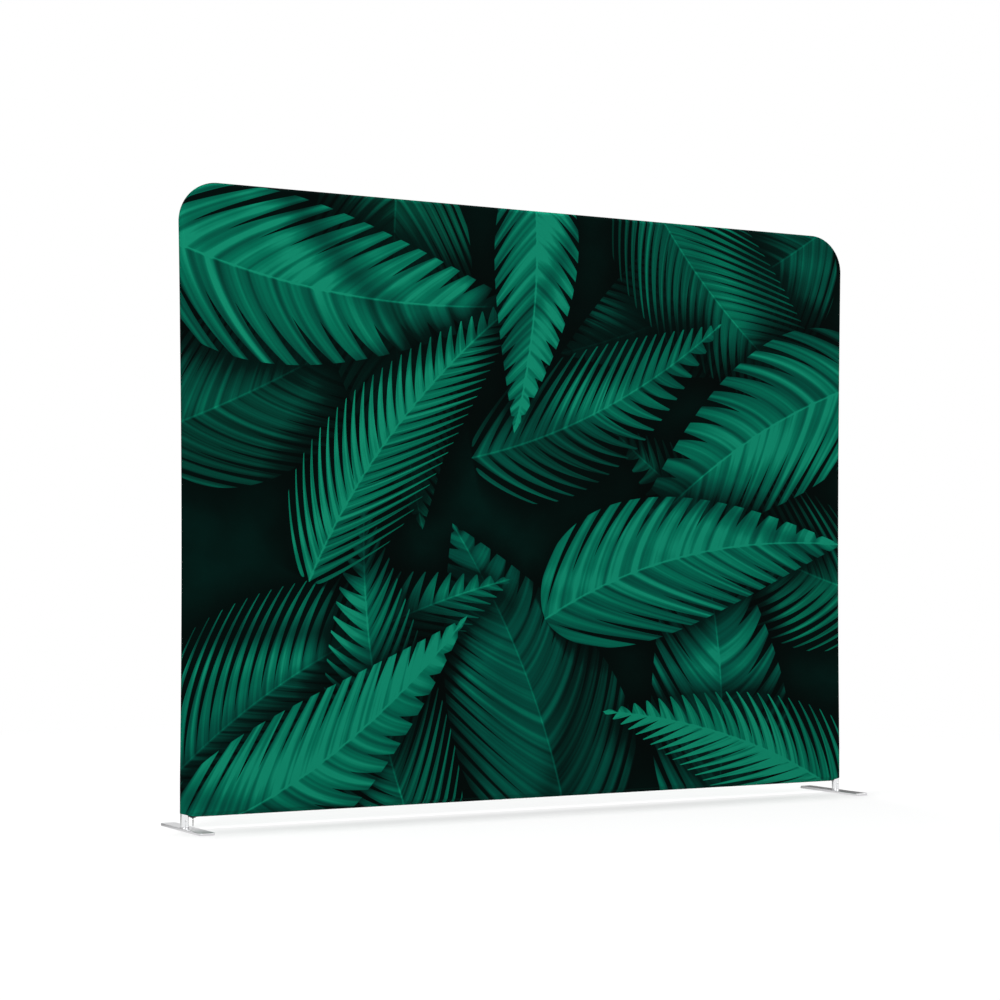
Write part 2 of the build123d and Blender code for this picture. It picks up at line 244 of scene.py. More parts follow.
def cover_panel(side):
    """One panel as points and cloth coordinates in metres. Rows follow the side rails; across a
    row, a share from -1 to 1 of the half width lies flat, and nine steps at each end turn a
    quarter round over the rail. The top rim turns the same way, and below the lower rail the
    rows follow the wrap: a 25 degree arc, a slant and a level end. side is -1 for the front."""
    rail = rail_rows()
    share = np.linspace(-1, 1, 121)
    share = np.sign(share) * (1 - (1 - abs(share)) ** 1.15)
    turn = np.radians(np.linspace(10, 90, 9))
    n_row, n_flat, n_turn = len(rail), len(share), len(turn)
    dip = 0.0004 * np.clip((turn - radians(80)) / radians(10), 0, 1)
    reach = cloth_out - dip

    flat = np.zeros((n_row, n_flat, 3))
    flat[:, :, 0] = share[None, :] * rail[:, 0:1]
    flat[:, :, 2] = rail[:, 1:2]
    across = abs(flat[:, :, 0])
    slack = np.sin(pi * np.clip(across / rail[:, 0:1], 0, 1)) ** 0.8
    height = corner_z + corner_r - rail_z
    slack *= np.clip(np.sin(pi * (flat[:, :, 2] - rail_z) / height), 0, 1) ** 0.6
    flat[:, :, 1] = side * (cloth_out - 0.0012 * slack)
    flat_uv = flat[:, :, [0, 2]].copy()

    rims = []
    for end in (1, -1):
        rim = np.zeros((n_row, n_turn, 3))
        rim[:, :, 0] = end * (rail[:, 0:1] + np.sin(turn) * reach * rail[:, 2:3])
        rim[:, :, 1] = side * np.cos(turn) * reach
        rim[:, :, 2] = rail[:, 1:2] + np.sin(turn) * reach * rail[:, 3:4]
        uv = np.zeros((n_row, n_turn, 2))
        uv[:, :, 0] = end * (rail[:, 0:1] + turn * cloth_out * rail[:, 2:3])
        uv[:, :, 1] = rail[:, 1:2] + turn * cloth_out * rail[:, 3:4]
        rims.append((rim, uv))

    top = np.zeros((n_turn, n_flat, 3))
    top[:, :, 0] = flat[-1, :, 0]
    top[:, :, 1] = side * (np.cos(turn) * reach)[:, None]
    top[:, :, 2] = rail[-1, 1] + (np.sin(turn) * reach)[:, None]
    top_uv = np.zeros((n_turn, n_flat, 2))
    top_uv[:, :, 0] = flat[-1, :, 0]
    top_uv[:, :, 1] = rail[-1, 1] + (turn * cloth_out)[:, None]

    steps = np.linspace(0, 1, 13)[1:]
    arc, slant, level = 0.00484, 0.00917, 0.00138
    run = steps * (arc + slant + level)
    a = radians(25)
    t = np.clip(run, 0, arc) / cloth_out
    s = np.clip(run - arc, 0, slant)
    e = np.clip(run - arc - slant, 0, level)
    wrap_y = cloth_out * np.cos(t) - s * sin(a) - e
    wrap_z = -cloth_out * np.sin(t) - s * cos(a)
    full = np.clip((leg_x - 0.001 - abs(flat[0, :, 0])) / 0.024, 0, 1)
    full = full * full * (3 - 2 * full)
    depth = 0.0044 + 0.0086 * np.clip((leg_x + 0.012 - abs(flat[0, :, 0])) / 0.036, 0, 1)
    wrap = np.zeros((len(steps), n_flat, 3))
    wrap[:, :, 0] = flat[0, :, 0]
    wrap[:, :, 1] = side * (full * wrap_y[:, None] + (1 - full) * cloth_out)
    wrap[:, :, 2] = rail_z + depth * (full * wrap_z[:, None] / 0.013 - (1 - full) * steps[:, None])
    wrap_uv = np.zeros((len(steps), n_flat, 2))
    wrap_uv[:, :, 0] = flat[0, :, 0]
    wrap_uv[:, :, 1] = rail_z - full * run[:, None] - (1 - full) * depth * steps[:, None]
    tails = []
    for rim, uv in rims:
        tail = np.repeat(rim[:1], len(steps), axis=0)
        outer = 0.0044 + 0.0029 * (1 - np.sin(turn))
        tail[:, :, 2] -= outer * steps[:, None]
        tail_uv = np.repeat(uv[:1], len(steps), axis=0)
        tail_uv[:, :, 1] -= 0.0044 * steps[:, None]
        tails.append((tail, tail_uv))

    def row(left, middle, right):
        return np.concatenate([left[:, ::-1], middle, right], axis=1)

    body = row(rims[1][0], flat, rims[0][0])
    body_uv = row(rims[1][1], flat_uv, rims[0][1])
    under = row(tails[1][0], wrap, tails[0][0])[::-1]
    under_uv = row(tails[1][1], wrap_uv, tails[0][1])[::-1]
    grid = np.concatenate([under, body])
    grid_uv = np.concatenate([under_uv, body_uv])
    rows, cols = grid.shape[:2]
    index = np.arange(rows * cols).reshape(rows, cols)
    top_index = rows * cols + np.arange(n_turn * n_flat).reshape(n_turn, n_flat)
    edge = index[-1, n_turn:n_turn + n_flat]
    top_index[:, 0] = index[-1, :n_turn][::-1]
    top_index[:, -1] = index[-1, n_turn + n_flat:]
    above = np.concatenate([edge[None, :], top_index])
    points = np.concatenate([grid.reshape(-1, 3), top.reshape(-1, 3)])
    uv = np.concatenate([grid_uv.reshape(-1, 2), top_uv.reshape(-1, 2)])
    quads = [np.stack([g[:-1, :-1], g[:-1, 1:], g[1:, 1:], g[1:, :-1]], axis=-1).reshape(-1, 4)
             for g in (index, above)]
    quads = np.concatenate(quads)
    return points, uv, quads if side < 0 else quads[:, ::-1]


def cloth_mesh(name, points, uv, quads):
    """Mesh object from points, quads and a cloth coordinate for each point, unused points left
    out, shaded smooth."""
    used, quads = np.unique(quads, return_inverse=True)
    quads = quads.reshape(-1, 4)
    mesh = bpy.data.meshes.new(name)
    mesh.from_pydata(points[used].tolist(), [], quads.tolist())
    layer = mesh.uv_layers.new(name="cloth")
    layer.data.foreach_set("uv", uv[used][quads.ravel()].ravel())
    mesh.polygons.foreach_set("use_smooth", np.ones(len(mesh.polygons), bool))
    piece = bpy.data.objects.new(name, mesh)
    scene.collection.objects.link(piece)
    return piece


# Print on the cover: overlapping leaves in emerald on near black, of this script's own design.
# A leaf is laid on what is under it, from the deepest to the top one. The group works on plain
# numbers, because the renderer's shader stack is too small for this many leaves on vectors.
def math_node(tree, operation, *values, clamp=False):
    """Math node fed by sockets and plain numbers; returns its output."""
    node = tree.nodes.new("ShaderNodeMath")
    node.operation = operation
    node.use_clamp = clamp
    for socket, value in zip(node.inputs, values):
        if isinstance(value, (int, float)):
            socket.default_value = value
        else:
            tree.links.new(value, socket)
    return node.outputs[0]


leaf = bpy.data.node_groups.new("printed_leaf", "ShaderNodeTree")
leaf.interface.new_socket("Under", in_out="INPUT", socket_type="NodeSocketVector")
for name in ("Cloth across", "Cloth up", "Base across", "Base up", "Turn", "Length", "Width",
             "Bend", "Ribs", "Slant", "Split", "Gap", "Tone", "Warmth"):
    leaf.interface.new_socket(name, in_out="INPUT", socket_type="NodeSocketFloat")
leaf.interface.new_socket("Over", in_out="OUTPUT", socket_type="NodeSocketVector")


def leaf_nodes(tree):
    """Fills the group. In the leaf's own frame, a runs from base to tip and d is the distance
    from the bent midrib; the half width is 2 Width s (1 - s) with s = (a / Length)^0.65. Ribs
    run along a - (Slant + 2.2 d) d = constant, and Split cuts the margin in between them."""
    give = tree.nodes.new("NodeGroupInput").outputs
    take = tree.nodes.new("NodeGroupOutput").inputs

    calc = partial(math_node, tree)

    def noise(place, detail):
        node = tree.nodes.new("ShaderNodeTexNoise")
        node.noise_dimensions = "1D"
        node.inputs["Scale"].default_value = 1.0
        node.inputs["Detail"].default_value = detail
        tree.links.new(place, node.inputs["W"])
        return node.outputs["Fac"]

    x = calc("SUBTRACT", give["Cloth across"], give["Base across"])
    z = calc("SUBTRACT", give["Cloth up"], give["Base up"])
    cosine, sine = calc("COSINE", give["Turn"]), calc("SINE", give["Turn"])
    a = calc("MULTIPLY_ADD", x, cosine, calc("MULTIPLY", z, sine))
    b = calc("SUBTRACT", calc("MULTIPLY", z, cosine), calc("MULTIPLY", x, sine))
    b = calc("SUBTRACT", b, calc("MULTIPLY", calc("MULTIPLY", a, a), give["Bend"]))
    d = calc("ABSOLUTE", b)
    s = calc("POWER", calc("DIVIDE", a, give["Length"]), 0.65)
    half = calc("MULTIPLY", calc("MULTIPLY", s, calc("SUBTRACT", 1.0, s)),
                calc("MULTIPLY", give["Width"], 2.0))
    sweep = calc("MULTIPLY_ADD", d, 2.2, give["Slant"])
    phase = calc("MULTIPLY", calc("SUBTRACT", a, calc("MULTIPLY", d, sweep)), give["Ribs"])
    fold = calc("PINGPONG", phase, 0.5)
    notch = calc("SUBTRACT", 1.0, calc("DIVIDE", fold, give["Gap"]), clamp=True)
    kept = calc("SUBTRACT", 1.0, calc("MULTIPLY", give["Split"], notch))
    mask = calc("MULTIPLY", calc("SUBTRACT", calc("MULTIPLY", half, kept), d), 700.0, clamp=True)
    near = calc("MULTIPLY_ADD", calc("SUBTRACT", half, d), 11.0, 1.0, clamp=True)
    near = calc("MULTIPLY", near, calc("MULTIPLY", half, 30.0, clamp=True))
    shade = calc("MULTIPLY_ADD", near, -0.72, 1.0)
    seed = calc("MULTIPLY", give["Length"], 61.0)
    streak = noise(calc("MULTIPLY_ADD", phase, 3.2, calc("MULTIPLY_ADD", d, 2.6, seed)), 1.5)
    light = noise(calc("MULTIPLY_ADD", a, 3.4, calc("MULTIPLY_ADD", b, 5.0, seed)), 1.0)
    tone = calc("MULTIPLY_ADD", fold, 0.75, calc("MULTIPLY", streak, 0.9))
    tone = calc("MULTIPLY_ADD", calc("GREATER_THAN", b, 0.0), 0.22, tone)
    tone = calc("MULTIPLY_ADD", s, 0.18, tone)
    curl = calc("POWER", calc("DIVIDE", d, half), 2.0)
    tone = calc("MULTIPLY_ADD", curl, -0.24, tone)
    tone = calc("MULTIPLY", tone, calc("MULTIPLY_ADD", light, 1.5, 0.25))
    midrib = calc("MULTIPLY_ADD", d, -240.0, 1.0, clamp=True)
    tone = calc("MULTIPLY", give["Tone"], calc("MULTIPLY_ADD", midrib, 0.5, tone))
    painted = tree.nodes.new("ShaderNodeCombineXYZ")
    tree.links.new(tone, painted.inputs["X"])
    tree.links.new(give["Warmth"], painted.inputs["Y"])
    darker = tree.nodes.new("ShaderNodeVectorMath")
    darker.operation = "SCALE"
    tree.links.new(give["Under"], darker.inputs[0])
    tree.links.new(shade, darker.inputs["Scale"])
    lay = tree.nodes.new("ShaderNodeMix")
    lay.data_type = "VECTOR"
    tree.links.new(mask, lay.inputs[0])
    tree.links.new(darker.outputs[0], lay.inputs[4])
    tree.links.new(painted.outputs[0], lay.inputs[5])
    tree.links.new(lay.outputs[1], take["Over"])


leaf_nodes(leaf)

# Each leaf: base in metres across and up, direction in degrees, length, width, bend, ribs per
# metre, slant, split, gap, tone, warmth.
leaves = (
    (-1.10, 0.95, 20, 0.95, 0.44, 0.15, 22, 0.8, 0.55, 0.22, 0.50, 0.2),
    (0.95, 1.60, 215, 0.95, 0.50, -0.2, 24, 0.7, 0.50, 0.20, 0.52, 0.1),
    (0.10, -0.10, 100, 0.90, 0.54, 0.25, 16, 0.7, 0.55, 0.20, 0.55, 0.0),
    (-0.40, 1.75, 262, 1.00, 0.46, 0.2, 22, 0.9, 0.60, 0.22, 0.52, 0.4),
    (1.15, 0.55, 170, 1.00, 0.44, -0.3, 26, 0.6, 0.92, 0.42, 0.66, 0.3),
    (-1.05, 0.10, 45, 1.05, 0.50, -0.3, 24, 0.9, 0.94, 0.45, 0.70, 0.1),
    (0.30, 1.72, 300, 1.00, 0.44, 0.3, 28, 0.8, 0.90, 0.40, 0.64, 0.2),
    (-0.20, 0.92, 12, 0.85, 0.36, 0.3, 22, 0.8, 0.92, 0.42, 0.62, 0.1),
    (-1.12, 1.46, 338, 1.05, 0.44, 0.25, 13, 0.7, 0.60, 0.24, 0.86, 0.2),
    (0.55, -0.15, 78, 1.00, 0.48, 0.3, 14, 0.6, 0.58, 0.24, 0.86, 0.0),
    (-0.30, -0.18, 118, 0.98, 0.38, -0.3, 24, 0.8, 0.92, 0.42, 0.86, 0.15),
    (1.14, 1.18, 194, 1.00, 0.44, 0.3, 14, 0.7, 0.58, 0.22, 0.90, 0.1),
    (-0.66, 0.60, 66, 0.95, 0.34, -0.3, 26, 1.0, 0.93, 0.45, 0.92, 0.25),
    (0.02, 0.50, 30, 0.95, 0.40, -0.35, 15, 0.8, 0.56, 0.22, 0.92, 0.05),
    (-1.08, -0.05, 14, 0.98, 0.36, 0.35, 16, 0.7, 0.55, 0.22, 0.96, 0.1),
    (1.10, -0.08, 142, 0.92, 0.36, 0.35, 24, 0.9, 0.92, 0.44, 1.00, 0.2),
    (-0.02, 1.72, 278, 0.72, 0.26, -0.3, 18, 0.8, 0.50, 0.22, 0.96, 0.1),
)


def leaf_print(tree, cloth):
    """Lays the leaves over a dark, faintly streaked ground and returns the colour."""
    ground = tree.nodes.new("ShaderNodeTexNoise")
    ground.inputs["Scale"].default_value = 7.0
    ground.inputs["Detail"].default_value = 3.0
    tree.links.new(cloth, ground.inputs["Vector"])
    low = tree.nodes.new("ShaderNodeMath")
    low.operation = "MULTIPLY"
    low.inputs[1].default_value = 0.3
    tree.links.new(ground.outputs["Fac"], low.inputs[0])
    start = tree.nodes.new("ShaderNodeCombineXYZ")
    tree.links.new(low.outputs[0], start.inputs["X"])
    under = start.outputs[0]
    where = tree.nodes.new("ShaderNodeSeparateXYZ")
    tree.links.new(cloth, where.inputs[0])
    names = ("Base across", "Base up", "Turn", "Length", "Width", "Bend", "Ribs", "Slant",
             "Split", "Gap", "Tone", "Warmth")
    for x, z, degrees, *numbers in leaves:
        node = tree.nodes.new("ShaderNodeGroup")
        node.node_tree = leaf
        for name, number in zip(names, (x, z, radians(degrees), *numbers)):
            node.inputs[name].default_value = number
        tree.links.new(where.outputs["X"], node.inputs["Cloth across"])
        tree.links.new(where.outputs["Y"], node.inputs["Cloth up"])
        tree.links.new(under, node.inputs["Under"])
        under = node.outputs["Over"]
    parts = tree.nodes.new("ShaderNodeSeparateXYZ")
    tree.links.new(under, parts.inputs[0])
    cool = tree.nodes.new("ShaderNodeValToRGB")
    warm = tree.nodes.new("ShaderNodeValToRGB")
    for ramp, colours in ((cool, ((0.0, (0.0002, 0.0012, 0.001)), (0.2, (0.0004, 0.009, 0.007)),
                                  (0.5, (0.0005, 0.058, 0.040)), (0.8, (0.0007, 0.126, 0.076)),
                                  (1.0, (0.004, 0.20, 0.122)))),
                          (warm, ((0.0, (0.0004, 0.0014, 0.001)), (0.2, (0.0006, 0.011, 0.006)),
                                  (0.5, (0.0010, 0.066, 0.033)), (0.8, (0.0016, 0.140, 0.068)),
                                  (1.0, (0.006, 0.22, 0.105))))):
        stops = ramp.color_ramp.elements
        while len(stops) < len(colours):
            stops.new(0.5)
        for stop, (at, colour) in zip(stops, colours):
            stop.position = at
            stop.color = (*colour, 1)
        tree.links.new(parts.outputs["X"], ramp.inputs["Fac"])
    blend = tree.nodes.new("ShaderNodeMix")
    blend.data_type = "RGBA"
    tree.links.new(parts.outputs["Y"], blend.inputs[0])
    tree.links.new(cool.outputs["Color"], blend.inputs[6])
    tree.links.new(warm.outputs["Color"], blend.inputs[7])
    return blend.outputs[2]


# Knit of the cover: fine wales up the cloth crossed by closer courses, as a height.
knit = bpy.data.node_groups.new("warp_knit", "ShaderNodeTree")
knit.interface.new_socket("Cloth", in_out="INPUT", socket_type="NodeSocketVector")
knit.interface.new_socket("Wale", in_out="INPUT", socket_type="NodeSocketFloat")
knit.interface.new_socket("Height", in_out="OUTPUT", socket_type="NodeSocketFloat")
give = knit.nodes.new("NodeGroupInput").outputs
take = knit.nodes.new("NodeGroupOutput").inputs
calc = partial(math_node, knit)
places = knit.nodes.new("ShaderNodeSeparateXYZ")
knit.links.new(give["Cloth"], places.inputs[0])
wales = calc("PINGPONG", calc("DIVIDE", places.outputs["X"], give["Wale"]), 0.5)
course = calc("MULTIPLY", give["Wale"], 0.6)
courses = calc("PINGPONG", calc("DIVIDE", places.outputs["Y"], course), 0.5)
knit.links.new(calc("ADD", wales, courses), take["Height"])

# Rows of stitching on the cover: a chain of short threads at a set distance from an edge.
stitch = bpy.data.node_groups.new("stitch_row", "ShaderNodeTree")
for name in ("Along", "Across", "At", "Pitch", "Half width"):
    stitch.interface.new_socket(name, in_out="INPUT", socket_type="NodeSocketFloat")
stitch.interface.new_socket("Thread", in_out="OUTPUT", socket_type="NodeSocketFloat")
give = stitch.nodes.new("NodeGroupInput").outputs
take = stitch.nodes.new("NodeGroupOutput").inputs
calc = partial(math_node, stitch)
off = calc("ABSOLUTE", calc("SUBTRACT", give["Across"], give["At"]))
ridge = calc("SUBTRACT", 1.0, calc("DIVIDE", off, give["Half width"]), clamp=True)
beat = calc("PINGPONG", calc("DIVIDE", give["Along"], give["Pitch"]), 0.5)
thread = calc("MULTIPLY", ridge, calc("MULTIPLY", beat, 6.0, clamp=True))
stitch.links.new(thread, take["Thread"])

# Cloth of the cover: printed on white polyester knit, matt, with twin rows of stitching above
# the zip and the knit's own texture close up, as a bump and as painted shade and highlight.
cloth_material = bpy.data.materials.new("printed_knit")
cloth_material.use_nodes = True
tree = cloth_material.node_tree
shader = tree.nodes["Principled BSDF"]
shader.inputs["Roughness"].default_value = 0.95
shader.inputs["Specular IOR Level"].default_value = 0.03
cloth_map = tree.nodes.new("ShaderNodeUVMap")
cloth_map.uv_map = "cloth"
printed = leaf_print(tree, cloth_map.outputs["UV"])
knitted = tree.nodes.new("ShaderNodeGroup")
knitted.node_tree = knit
knitted.inputs["Wale"].default_value = 0.0009
tree.links.new(cloth_map.outputs["UV"], knitted.inputs["Cloth"])
where = tree.nodes.new("ShaderNodeSeparateXYZ")
tree.links.new(cloth_map.outputs["UV"], where.inputs[0])
rows = []
for height in (0.0375, 0.0400):
    row = tree.nodes.new("ShaderNodeGroup")
    row.node_tree = stitch
    row.inputs["At"].default_value = height
    row.inputs["Pitch"].default_value = 0.0030
    row.inputs["Half width"].default_value = 0.0004
    tree.links.new(where.outputs["X"], row.inputs["Along"])
    tree.links.new(where.outputs["Y"], row.inputs["Across"])
    rows.append(row.outputs["Thread"])
thread = math_node(tree, "MAXIMUM", *rows)
# The knit's height scales the print's colour from 0.90 to 1.05: painted shade in the knit's
# grooves and painted highlight on its ridges.
shaded = tree.nodes.new("ShaderNodeMapRange")
shaded.inputs["To Min"].default_value = 0.90
shaded.inputs["To Max"].default_value = 1.05
tree.links.new(knitted.outputs["Height"], shaded.inputs["Value"])
print_with_knit_shade = tree.nodes.new("ShaderNodeVectorMath")
print_with_knit_shade.operation = "SCALE"
tree.links.new(printed, print_with_knit_shade.inputs[0])
tree.links.new(shaded.outputs["Result"], print_with_knit_shade.inputs["Scale"])
sewn = tree.nodes.new("ShaderNodeMix")
sewn.data_type = "RGBA"
sewn.inputs[7].default_value = (0.004, 0.045, 0.032, 1)
tree.links.new(thread, sewn.inputs[0])
tree.links.new(print_with_knit_shade.outputs[0], sewn.inputs[6])
tree.links.new(sewn.outputs[2], shader.inputs["Base Color"])
relief = math_node(tree, "MULTIPLY_ADD", thread, 3.0, knitted.outputs["Height"])
bump = tree.nodes.new("ShaderNodeBump")
bump.inputs["Strength"].default_value = 0.5
bump.inputs["Distance"].default_value = 0.00008
tree.links.new(relief, bump.inputs["Height"])
tree.links.new(bump.outputs[0], shader.inputs["Normal"])

for name, side in (("cover_cloth_front", -1), ("cover_cloth_back", 1)):
    points, uv, quads = cover_panel(side)
    piece = cloth_mesh(name, points, uv, quads)
    thick = piece.modifiers.new("thickness", "SOLIDIFY")
    thick.thickness = 0.0005
    thick.offset = -1
    piece.data.materials.append(cloth_material)
    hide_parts("cover_front" if side < 0 else "cover_back")
    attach(piece, "frame_and_cover")

# Rolled, drawn and brushed metal: fine streaks along the way the metal was drawn, and a few
# broader marks. Stretch sets the streaks' spacing along each axis.
streaks = bpy.data.node_groups.new("drawn_metal", "ShaderNodeTree")
for name, kind in (("Position", "NodeSocketVector"), ("Stretch", "NodeSocketVector"),
                   ("Contrast", "NodeSocketFloat"), ("Roughness", "NodeSocketFloat"),
                   ("Colour", "NodeSocketColor")):
    streaks.interface.new_socket(name, in_out="INPUT", socket_type=kind)
for name, kind in (("Colour", "NodeSocketColor"), ("Roughness", "NodeSocketFloat"),
                   ("Normal", "NodeSocketVector")):
    streaks.interface.new_socket(name, in_out="OUTPUT", socket_type=kind)
give = streaks.nodes.new("NodeGroupInput").outputs
take = streaks.nodes.new("NodeGroupOutput").inputs
stretched = streaks.nodes.new("ShaderNodeVectorMath")
stretched.operation = "MULTIPLY"
streaks.links.new(give["Position"], stretched.inputs[0])
streaks.links.new(give["Stretch"], stretched.inputs[1])
lines = streaks.nodes.new("ShaderNodeTexNoise")
lines.inputs["Scale"].default_value = 1.0
lines.inputs["Detail"].default_value = 3.0
streaks.links.new(stretched.outputs[0], lines.inputs["Vector"])
marks = streaks.nodes.new("ShaderNodeTexNoise")
marks.inputs["Scale"].default_value = 9.0
marks.inputs["Detail"].default_value = 2.0
streaks.links.new(give["Position"], marks.inputs["Vector"])
calc = partial(math_node, streaks)
swing = calc("SUBTRACT", lines.outputs["Fac"], 0.5)
tint = calc("MULTIPLY_ADD", swing, give["Contrast"], 1.0)
coloured = streaks.nodes.new("ShaderNodeVectorMath")
coloured.operation = "SCALE"
streaks.links.new(give["Colour"], coloured.inputs[0])
streaks.links.new(tint, coloured.inputs["Scale"])
streaks.links.new(coloured.outputs[0], take["Colour"])
rough = calc("MULTIPLY_ADD", marks.outputs["Fac"], 0.18, give["Roughness"])
streaks.links.new(rough, take["Roughness"])
bump = streaks.nodes.new("ShaderNodeBump")
bump.inputs["Strength"].default_value = 0.12
bump.inputs["Distance"].default_value = 0.00005
streaks.links.new(lines.outputs["Fac"], bump.inputs["Height"])
streaks.links.new(bump.outputs[0], take["Normal"])


def metal(name, colour, roughness, stretch, contrast, metallic=1.0):
    """Material of bare or coated metal with the streaks laid over its colour."""
    made = bpy.data.materials.new(name)
    made.use_nodes = True
    tree = made.node_tree
    shader = tree.nodes["Principled BSDF"]
    shader.inputs["Metallic"].default_value = metallic
    where = tree.nodes.new("ShaderNodeTexCoord")
    node = tree.nodes.new("ShaderNodeGroup")
    node.node_tree = streaks
    node.inputs["Stretch"].default_value = stretch
    node.inputs["Contrast"].default_value = contrast
    node.inputs["Roughness"].default_value = roughness
    node.inputs["Colour"].default_value = (*colour, 1)
    tree.links.new(where.outputs["Object"], node.inputs["Position"])
    tree.links.new(node.outputs["Colour"], shader.inputs["Base Color"])
    tree.links.new(node.outputs["Roughness"], shader.inputs["Roughness"])
    tree.links.new(node.outputs["Normal"], shader.inputs["Normal"])
    return made


# Frame tubes and sleeves: drawn aluminium, satin outside, with the sleeves left as they came
# from the mill. The upright tubes show at the feet, and the rest is under the cover.
tube_up = metal("satin_aluminium_up", (0.86, 0.87, 0.88), 0.08, (2600, 2600, 6), 0.16)
tube_across = metal("satin_aluminium_across", (0.80, 0.81, 0.82), 0.22, (6, 2600, 2600), 0.16)
sleeve = metal("mill_aluminium", (0.70, 0.71, 0.72), 0.38, (900, 900, 40), 0.3)
spring = metal("spring_strip", (0.50, 0.50, 0.52), 0.3, (500, 1500, 500), 0.25)
turned = metal("turned_steel", (0.62, 0.62, 0.63), 0.25, (60, 60, 3500), 0.25)
zinc = metal("zinc_plate", (0.58, 0.59, 0.60), 0.35, (400, 400, 400), 0.4)
stop = metal("pressed_stop", (0.56, 0.56, 0.56), 0.35, (600, 600, 600), 0.3)
for name, node in frame["nodes"].items():
    if "spring" in name:
        chosen = spring
    elif "sleeve" in name or "stub" in name:
        chosen = sleeve
    elif name.startswith(("bottom_tube", "top_tube")):
        chosen = tube_across
    elif "tube" in name:
        chosen = tube_up
    elif name.startswith("foot_spigot"):
        chosen = turned
    elif name == "foot_screws":
        chosen = zinc
    elif name == "zip_stops":
        chosen = stop
    else:
        continue
    node.data.materials.clear()
    node.data.materials.append(chosen)

# Pole ends: black moulded plastic with a fine spark-eroded grain.
plastic = bpy.data.materials.new("black_plastic")
plastic.use_nodes = True
tree = plastic.node_tree
shader = tree.nodes["Principled BSDF"]
where = tree.nodes.new("ShaderNodeTexCoord")
grain = tree.nodes.new("ShaderNodeTexNoise")
grain.inputs["Scale"].default_value = 2200
grain.inputs["Detail"].default_value = 2
tree.links.new(where.outputs["Object"], grain.inputs["Vector"])
shades = tree.nodes.new("ShaderNodeValToRGB")
shades.color_ramp.elements[0].color = (0.018, 0.018, 0.020, 1)
shades.color_ramp.elements[1].color = (0.034, 0.034, 0.037, 1)
tree.links.new(grain.outputs["Fac"], shades.inputs["Fac"])
tree.links.new(shades.outputs["Color"], shader.inputs["Base Color"])
bump = tree.nodes.new("ShaderNodeBump")
bump.inputs["Strength"].default_value = 0.3
bump.inputs["Distance"].default_value = 0.0001
tree.links.new(grain.outputs["Fac"], bump.inputs["Height"])
tree.links.new(bump.outputs[0], shader.inputs["Normal"])
shader.inputs["Roughness"].default_value = 0.5
for name in ("pole_end_bottom", "pole_end_top"):
    frame["nodes"][name].data.materials.clear()
    frame["nodes"][name].data.materials.append(plastic)


# Foot plates: flat steel bar with rounded corners, satin brushed along its length, its upper
# edge eased. A screw comes up through a countersunk hole into the spigot.
def surface(name, points, loop_rows=False, loop_cols=False):
    """Mesh object from a grid of points, joined up where it loops, shaded smooth."""
    rows, cols = points.shape[:2]
    index = np.arange(rows * cols).reshape(rows, cols)
    if loop_rows:
        index = np.concatenate([index, index[:1]])
    if loop_cols:
        index = np.concatenate([index, index[:, :1]], axis=1)
    quads = np.stack([index[:-1, :-1], index[1:, :-1], index[1:, 1:], index[:-1, 1:]], axis=-1)
    mesh = bpy.data.meshes.new(name)
    mesh.from_pydata(points.reshape(-1, 3).tolist(), [], quads.reshape(-1, 4).tolist())
    mesh.polygons.foreach_set("use_smooth", np.ones(len(mesh.polygons), bool))
    piece = bpy.data.objects.new(name, mesh)
    scene.collection.objects.link(piece)
    return piece


def seal(piece):
    """Closes a piece's open ends and turns its faces outwards."""
    shape = bmesh.new()
    shape.from_mesh(piece.data)
    bmesh.ops.holes_fill(shape, edges=[e for e in shape.edges if e.is_boundary], sides=0)
    bmesh.ops.recalc_face_normals(shape, faces=shape.faces)
    shape.to_mesh(piece.data)
    shape.free()


def rounded(half_x, half_y, radius, arc=8, side=12):
    """Closed outline of a rectangle with round corners, counterclockwise, as rows of X and Y."""
    corners = []
    for k, (x, y) in enumerate(((1, 1), (-1, 1), (-1, -1), (1, -1))):
        t = np.linspace(0, pi / 2, arc + 1) + k * pi / 2
        centre = np.array([x * (half_x - radius), y * (half_y - radius)])
        corners.append(centre + radius * np.stack([np.cos(t), np.sin(t)], axis=1))
    loop = []
    for k in range(4):
        share = np.linspace(0, 1, side + 1)[1:-1, None]
        loop += [corners[k], corners[k][-1] * (1 - share) + corners[(k + 1) % 4][0] * share]
    return np.concatenate(loop)


def holed_plate(outline, hole, section):
    """Closed plate with one round hole, as a grid round its hole. section lists, from the hole
    along the underside, over the edge and back along the top, the share of the way from hole to
    outline, the hole's radius, the outline's inset and the height."""
    grid = []
    for share, radius, inset, z in section:
        outer = outline(inset)
        line = outer - hole
        inner = hole + radius * line / np.linalg.norm(line, axis=1)[:, None]
        flat = inner * (1 - share) + outer * share
        grid.append(np.concatenate([flat, np.full((len(flat), 1), z)], axis=1))
    return np.stack(grid, axis=1)


section = [(0, 0.0082, 0, 0.0), (0.03, 0.0082, 0, 0.0), (0.5, 0.0082, 0.0006, 0.0),
           (0.97, 0.0082, 0.0006, 0.0), (1, 0, 0.0006, 0.0), (1, 0, 0.0002, 0.0002),
           (1, 0, 0, 0.0006), (1, 0, 0, 0.0046)]
section += [(1, 0, 0.0012 * (1 - cos(t)), 0.0048 + 0.0012 * sin(t))
            for t in np.linspace(0, pi / 2, 7)]
section += [(0.985, 0.0042, 0.0012, 0.006), (0.9, 0.0042, 0.0012, 0.006),
            (0.4, 0.0042, 0.0012, 0.006), (0.02, 0.0042, 0, 0.006), (0, 0.0042, 0, 0.006),
            (0, 0.0042, 0, 0.0042), (0, 0.0042, 0, 0.0040)]
brushed = metal("brushed_steel", (0.66, 0.66, 0.67), 0.2, (1800, 9, 1800), 0.2)
plate_half_x, plate_half_y, plate_corner = 0.020, 0.1325, 0.008
plate_x = 0.977853
